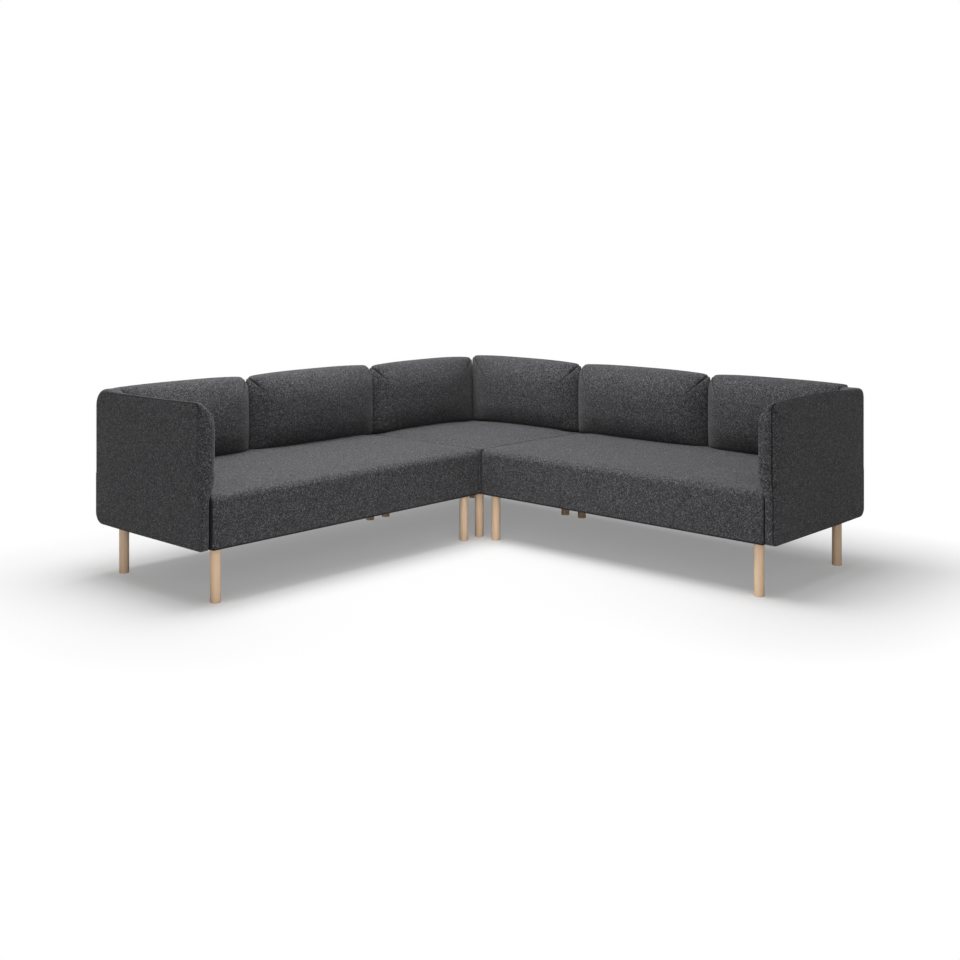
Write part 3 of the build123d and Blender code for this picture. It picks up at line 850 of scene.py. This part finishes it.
def outline_inset(place, low, high, top_radius, rear_radius):
    """Distance of a place inside the arm's rounded side outline, and the way inwards."""
    half = Vector(((high.y - low.y) / 2, (high.z - low.z) / 2))
    offset = Vector((place.y - (low.y + high.y) / 2, place.z - (low.z + high.z) / 2))
    radius = rear_radius if offset.x > 0 else top_radius
    past = Vector((abs(offset.x) - (half.x - radius), abs(offset.y) - (half.y - radius)))
    if past.x > 0 and past.y > 0:
        out = past.normalized()
        inset = radius - past.length
    elif past.x > past.y:
        out = Vector((1.0, 0.0))
        inset = radius - past.x
    else:
        out = Vector((0.0, 1.0))
        inset = radius - past.y
    inwards = Vector((0.0, -math.copysign(out.x, offset.x), -math.copysign(out.y, offset.y)))
    return inset, inwards


def nose_round(place, inwards, low, high):
    """Radius of the arm's outer edge: full at the front above the seat, small elsewhere."""
    front = max(0.0, inwards.y) ** 2
    height = ease((place.z - low.z - ARM_NOSE_FROM) / ARM_NOSE_RISE)
    rear = ease((place.y - high.y + ARM_REAR_ZONE) / ARM_REAR_ZONE)
    edge = blend(ARM_EDGE_ROUND, ARM_REAR_EDGE_ROUND, rear)
    return blend(edge, blend(ARM_NOSE_FOOT_ROUND, ARM_NOSE_ROUND, height), front)


def round_corner(place, first, first_size, first_past, second, second_size, second_past):
    """Round the corner between two axes; each past runs from 0 at its zone's start to 1 at the face."""
    length = math.hypot(first_past, second_past)
    if first_past == 0 or second_past == 0:
        return
    shrink = 1 - max(first_past, second_past) / length
    place[first] += first_past * shrink * first_size
    place[second] += second_past * shrink * second_size


def arm_shape(
    node, seam_turn, seam_fade, inner_round, inner_fall, top_radius, rear_radius, rear_rise, front_rise, arch,
):
    """An arm: slim beside the seat, full-nosed above it, with a seam round its outer panel.

    seam_turn is the part of the outer edge's quarter turn, in degrees, that belongs to the boxing strip, and
    seam_fade the seam's strength down the nose. inner_round is the radius of the nose's inner edge, and
    inner_fall the height of the round along the top. The rises lift the top's two ends, and arch its middle.
    """
    low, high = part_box(node)
    bm = block(low, high)
    for side in (low.y, high.y):
        radius = rear_radius if near(side, high.y) else top_radius
        upper = edges_where(bm, lambda p: near(p.y, side) and near(p.z, high.z))
        round_over(bm, upper, radius, ARM_CORNER_CUTS)
        foot_radius = ARM_REAR_FOOT_RADIUS if near(side, high.y) else ARM_FOOT_RADIUS
        lower = edges_where(bm, lambda p: near(p.y, side) and near(p.z, low.z))
        round_over(bm, lower, foot_radius, ARM_FOOT_CUTS)
    cut_at(bm, 1, stations(low.y, high.y, ARM_EDGE_ZONE, ARM_EDGE_ZONE, CLOTH_STEP, SEAM_OFFSETS))
    cut_at(bm, 2, stations(low.z, high.z, ARM_EDGE_ZONE, inner_fall, CLOTH_STEP, SEAM_OFFSETS))
    cut_at(bm, 2, [ARM_PAD_STEP_LOW, (ARM_PAD_STEP_LOW + ARM_PAD_STEP_HIGH) / 2, ARM_PAD_STEP_HIGH])
    cut_at(bm, 0, [high.x - offset for offset in SEAM_OFFSETS])
    cut_at(bm, 0, [high.x - ARM_NOSE_ROUND * count / ROUND_CUTS for count in range(2, ROUND_CUTS + 1)])
    cut_at(bm, 0, [low.x + offset for offset in ARM_INNER_CUTS])
    bm.normal_update()
    lay_cloth(bm)
    # The seams round the outer panel and along the nose's join: pressed as grooves, with painted shade along
    # them.
    seams = {}
    for vert in bm.verts:
        inset, inwards = outline_inset(vert.co, low, high, top_radius, rear_radius)
        across = high.x - vert.co.x
        sewn = 1 - ease((vert.co.y - high.y + ARM_REAR_ZONE) / ARM_REAR_ZONE)
        sewn *= blend(1.0, seam_fade, ease((high.z - vert.co.z - ARM_FADE_FROM) / ARM_FADE_RUN))
        if near(across, 0):
            seams[vert] = (max(0.0, inset), sewn)
        elif across < ARM_NOSE_ROUND + SEAM_MARGIN:
            seams[vert] = (-across, sewn)
        joined = near(inwards.y, math.sin(ARM_JOIN_TURN), ARM_JOIN_MARGIN) and inwards.z < 0
        if joined and 0 < across < ARM_JOIN_REACH:
            seams[vert] = (0.0, ARM_JOIN_STRENGTH)
    thickness = high.x - low.x
    for vert in bm.verts:
        place = vert.co.copy()
        inset, inwards = outline_inset(place, low, high, top_radius, rear_radius)
        inset = max(0.0, inset)
        across = high.x - place.x
        outer = nose_round(place, inwards, low, high)
        turn = None
        if near(across, 0):
            if seam_turn < 90 and inset < outer:
                turn = blend(seam_turn, 90, inset / outer)
            elif seam_turn >= 90 and inset < ARM_PANEL_RUN:
                place += inwards * outer * (1 - inset / ARM_PANEL_RUN)
        elif across < outer:
            turn = seam_turn * (1 - across / outer)
        if turn is not None:
            turn = math.radians(turn)
            place.x = high.x - outer * (1 - math.sin(turn))
            place += inwards * (outer * (1 - math.cos(turn)) - inset)
        beside_pad = ease((vert.co.y - ARM_PAD_LINE) / ARM_PAD_RUN)
        from_inner = vert.co.x - low.x
        top_round = blend(ARM_TOP_INNER_ROUND, ARM_EDGE_ROUND, beside_pad)
        top_fall = blend(inner_fall, ARM_EDGE_ROUND, beside_pad)
        round_corner(
            place, 0, top_round, max(0.0, 1 - from_inner / top_round),
            2, -top_fall, max(0.0, 1 - (high.z - vert.co.z) / top_fall),
        )
        round_corner(
            place, 0, inner_round, max(0.0, 1 - from_inner / inner_round),
            1, inner_round, max(0.0, 1 - (vert.co.y - low.y) / inner_round),
        )
        step_low = blend(ARM_STEP_LOW, ARM_PAD_STEP_LOW, beside_pad)
        step_high = blend(ARM_STEP_HIGH, ARM_PAD_STEP_HIGH, beside_pad)
        slim = 1 - ease((place.z - step_low) / (step_high - step_low))
        kept = 1 - slim * (1 - ARM_BASE_THICKNESS / thickness)
        bulge = ARM_SWELL * ease(inset / ARM_PANEL_RUN) * ease((vert.co.x - low.x) / thickness * 2 - 1)
        place.x = high.x - (high.x - place.x) * kept + bulge
        rear = ease((place.y - high.y + ARM_REAR_RUN) / ARM_REAR_RUN)
        front = min(max((low.y + ARM_FRONT_RUN - place.y) / ARM_FRONT_RUN, 0.0), 1.0)
        middle = math.sin(math.pi * (place.y - low.y) / ARM_ARCH_RUN)
        lift = rear_rise * rear + front_rise * front + arch * middle
        place.z += lift * ease((place.z - low.z) / ARM_LIFT_RUN)
        vert.co = place
    sew(bm, seams, ARM_SEAM_DEPTH, ARM_SEAM_WIDTH)
    return bm


# Build

def build_groups():
    """The shared surface effects."""
    return {"weave": heather_weave_group(), "grain": wood_grain_group(), "wear": fine_wear_group()}


def build_materials():
    """One finish for each material slot of the record."""
    cloth = charcoal_cloth()
    return {
        "seat_fabric": cloth,
        "back_fabric": cloth,
        "arm_fabric": cloth,
        "beech": wood("beech", (0.90, 0.620, 0.400), (1.0, 0.740, 0.515), 38.0, 0.25, 0.45),
        "frame_wood": wood("frame_wood", (0.42, 0.27, 0.14), (0.62, 0.45, 0.27), 30.0, 0.2, 0.7),
        "plywood": wood("plywood", (0.50, 0.34, 0.19), (0.70, 0.53, 0.34), 22.0, 0.15, 0.65),
        "webbing": dark_textile("webbing", (0.012, 0.012, 0.013), (0.06, 0.06, 0.062), 700.0),
        "dust_cloth": dark_textile("dust_cloth", (0.008, 0.008, 0.008), (0.03, 0.03, 0.031), 1100.0),
        "zinc_steel": hard_finish("zinc_steel", (0.52, 0.53, 0.54), (0.68, 0.69, 0.70), 1.0, 0.28),
        "link_steel": hard_finish("link_steel", (0.018, 0.018, 0.019), (0.035, 0.035, 0.036), 0.0, 0.45),
        "leveller_nylon": hard_finish("leveller_nylon", (0.045, 0.045, 0.046), (0.07, 0.07, 0.072), 0.0, 0.5),
    }


def finish_cad_nodes():
    """Give every CAD node the finish of its slot."""
    for part in frame["record"]["subparts"]:
        node = frame["nodes"][part["node"]]
        node.data.materials.clear()
        node.data.materials.append(MATERIALS[part["material_slot"]])


def pad_held(node, mitre=False):
    """Where a back pad's cover is fixed: on its board at the rear, under its foot, and on its two ends."""
    low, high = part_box(node)

    def held(place):
        near_end = place.x + place.y if mitre else place.x - low.x
        at_end = min(near_end, high.x - place.x) < HELD_END
        return at_end or place.y > high.y - PAD_REAR_ROUND or place.z < low.z + PAD_FOOT_ROUND / 2

    return held


def seat_held(node):
    """Where a seat's cover is fixed: on its sides; its top is free."""
    low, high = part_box(node)

    def held(place):
        in_edge = min(place.x - low.x, high.x - place.x, place.y - low.y, high.y - place.y) < HELD_SIDE
        return in_edge or place.z < SEAT_EDGE_TOP - HELD_SIDE

    return held


def arm_held(place):
    """Whether an arm's cover is fixed at a place: at its rear, or at its foot and thin part by the seat."""
    return place.z < ARM_STEP_HIGH or place.y > ARM_PAD_LINE


def finish_soft(bm, held, cap):
    """Fill a shape and let its cover settle."""
    fill_out(bm, held, cap)
    settle(bm, held, SETTLE)
    return bm


def make_seat(node, front_radius, in_corner=False):
    """A finished seat."""
    return finish_soft(seat_shape(node, front_radius, in_corner), seat_held(node), SEAT_CAP)


def make_pad(node, end_rounds, end_drops, dart_end, mitre=False, trim=PAD_TOP_TRIM):
    """A finished back pad."""
    shape = pad_shape(node, end_rounds, end_drops, dart_end, mitre, trim)
    return finish_soft(shape, pad_held(node, mitre), PAD_CAP)


def build_soft_pieces():
    """Seats, back pads and arms of the three modules; the left side's are mirrored."""
    both_ends = (PAD_EDGE_ROUND, PAD_EDGE_ROUND)
    arm_end = (PAD_EDGE_ROUND, PAD_ARM_END_ROUND)
    corner_seat = make_seat("corner_seat_cushion", SEAT_CORNER_FRONT, in_corner=True)
    upholster("corner_seat", corner_seat, "corner_seat_cushion", "corner_module", "seat_fabric", SEAT_FILL)
    wing_seat = make_seat("right_seat_cushion", SEAT_FRONT_RADIUS)
    for side in ("left", "right"):
        module = side + "_module"
        corner_name = "corner_back_" + side
        dart_end = PAD_DART_ENDS[side]
        corner_pad = make_pad(
            "corner_back_pad_right", both_ends, (PAD_CORNER_DROPS[side], PAD_TOP_DROP), dart_end,
            mitre=True, trim=PAD_CORNER_TRIMS[side],
        )
        inner_pad = make_pad("right_back_pad_inner", both_ends, (PAD_TOP_DROP, PAD_TOP_DROP), dart_end)
        outer_pad = make_pad("right_back_pad_outer", arm_end, (PAD_TOP_DROP, PAD_ARM_DROP), dart_end)
        arm = finish_soft(arm_shape("right_arm_pad", **ARMS[side]), arm_held, ARM_CAP)
        for name, shape, node, body, slot, fill in (
            (side + "_seat", wing_seat, side + "_seat_cushion", module, "seat_fabric", SEAT_FILL),
            (corner_name, corner_pad, "corner_back_pad_" + side, "corner_module", "back_fabric", PAD_FILL),
            (side + "_back_inner", inner_pad, side + "_back_pad_inner", module, "back_fabric", PAD_FILL),
            (side + "_back_outer", outer_pad, side + "_back_pad_outer", module, "back_fabric", PAD_FILL),
            (side + "_arm", arm, side + "_arm_pad", module, "arm_fabric", ARM_FILL),
        ):
            upholster(name, mirrored(shape) if side == "left" else shape, node, body, slot, fill)


# Stage

def distance_off(tree, place, low, high):
    """Distance of a place from the upright box between two corners, seen from above."""
    middle = (low + high) / 2
    half = (high - low) / 2
    off = vector_calc(tree, "ABSOLUTE", vector_calc(tree, "SUBTRACT", place, (middle.x, middle.y, 0.0)))
    outside = vector_calc(tree, "MAXIMUM", vector_calc(tree, "SUBTRACT", off, (half.x, half.y, 0.0)))
    length = add_node(tree, "ShaderNodeVectorMath", operation="LENGTH")
    feed(tree, outside, length.inputs[0])
    return length.outputs["Value"]


def floor_material():
    """Studio floor, white away from the object, that sends back less light than it shows."""
    material, tree, shader = new_material("studio_floor")
    path = add_node(tree, "ShaderNodeLightPath")
    corner_low, corner_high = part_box("corner_seat_cushion")
    off_right = distance_off(tree, place_of(tree), corner_low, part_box("right_arm_pad")[1])
    off_left = distance_off(tree, place_of(tree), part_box("left_arm_pad")[0], corner_high)
    white = spread(tree, calc(tree, "MINIMUM", off_right, off_left), *FLOOR_FADE)
    seen = calc(tree, "MULTIPLY", path.outputs["Is Camera Ray"], calc(tree, "SUBTRACT", 1.0, white))
    shown = calc(tree, "MULTIPLY", path.outputs["Is Camera Ray"], spread(tree, white, 0, 1, FLOOR_LIFT, 1.0))
    bounced = calc(tree, "SUBTRACT", 1.0, path.outputs["Is Camera Ray"])
    near_tone = calc(tree, "MULTIPLY", seen, FLOOR_TONE)
    colour = calc(tree, "ADD", near_tone, calc(tree, "MULTIPLY", bounced, FLOOR_BOUNCE))
    tree.links.new(colour, shader.inputs["Base Color"])
    shader.inputs["Roughness"].default_value = 1.0
    shader.inputs["Specular IOR Level"].default_value = 0.0
    shader.inputs["Emission Color"].default_value = (1, 1, 1, 1)
    tree.links.new(shown, shader.inputs["Emission Strength"])
    return material


def sun(name, heading, height, softness, strength):
    """A soft sun: the heading and height, in degrees, from which it shines."""
    light = bpy.data.lights.new(name, "SUN")
    light.angle = math.radians(softness)
    light.energy = strength
    holder = bpy.data.objects.new(name, light)
    level = math.cos(math.radians(height))
    source = Vector((
        level * math.cos(math.radians(heading)), level * math.sin(math.radians(heading)),
        math.sin(math.radians(height)),
    ))
    holder.rotation_euler = (-source).to_track_quat("-Z", "Y").to_euler()
    bpy.context.scene.collection.objects.link(holder)


def softbox(name, place, aim, width, power):
    """A square area lamp that faces a place and stays out of the picture."""
    light = bpy.data.lights.new(name, "AREA")
    light.size = width
    light.energy = power
    holder = bpy.data.objects.new(name, light)
    holder.location = place
    holder.rotation_euler = (Vector(aim) - Vector(place)).to_track_quat("-Z", "Y").to_euler()
    holder.visible_camera = False
    bpy.context.scene.collection.objects.link(holder)


def build_stage():
    """Floor, world, lamps and camera."""
    bm = bmesh.new()
    bmesh.ops.create_grid(bm, x_segments=1, y_segments=1, size=FLOOR_REACH)
    mesh = bpy.data.meshes.new("floor")
    bm.to_mesh(mesh)
    bm.free()
    mesh.materials.append(floor_material())
    floor = bpy.data.objects.new("floor", mesh)
    bpy.context.scene.collection.objects.link(floor)

    world = bpy.data.worlds.new("studio")
    world.use_nodes = True
    tree = world.node_tree
    background = tree.nodes["Background"]
    background.inputs["Color"].default_value = (1, 1, 1, 1)
    path = add_node(tree, "ShaderNodeLightPath")
    seen = calc(tree, "MAXIMUM", path.outputs["Is Camera Ray"], path.outputs["Is Glossy Ray"])
    tree.links.new(spread(tree, seen, 0, 1, WORLD_STRENGTH, 1.0), background.inputs["Strength"])
    bpy.context.scene.world = world

    for name, heading, height, softness, strength in SUNS:
        sun(name, heading, height, softness, strength)
    for name, place, aim, width, power in SOFTBOXES:
        softbox(name, place, aim, width, power)

    camera = bpy.data.cameras.new("camera")
    camera.lens = CAMERA_LENS
    camera.shift_x, camera.shift_y = CAMERA_SHIFT
    view = bpy.data.objects.new("camera", camera)
    view.location = CAMERA_PLACE
    view.rotation_euler = (math.pi / 2, 0, CAMERA_TURN)
    bpy.context.scene.collection.objects.link(view)
    bpy.context.scene.camera = view
    bpy.context.scene.view_settings.view_transform = "Standard"


GROUPS = build_groups()
MATERIALS = build_materials()
finish_cad_nodes()
build_soft_pieces()
build_stage()
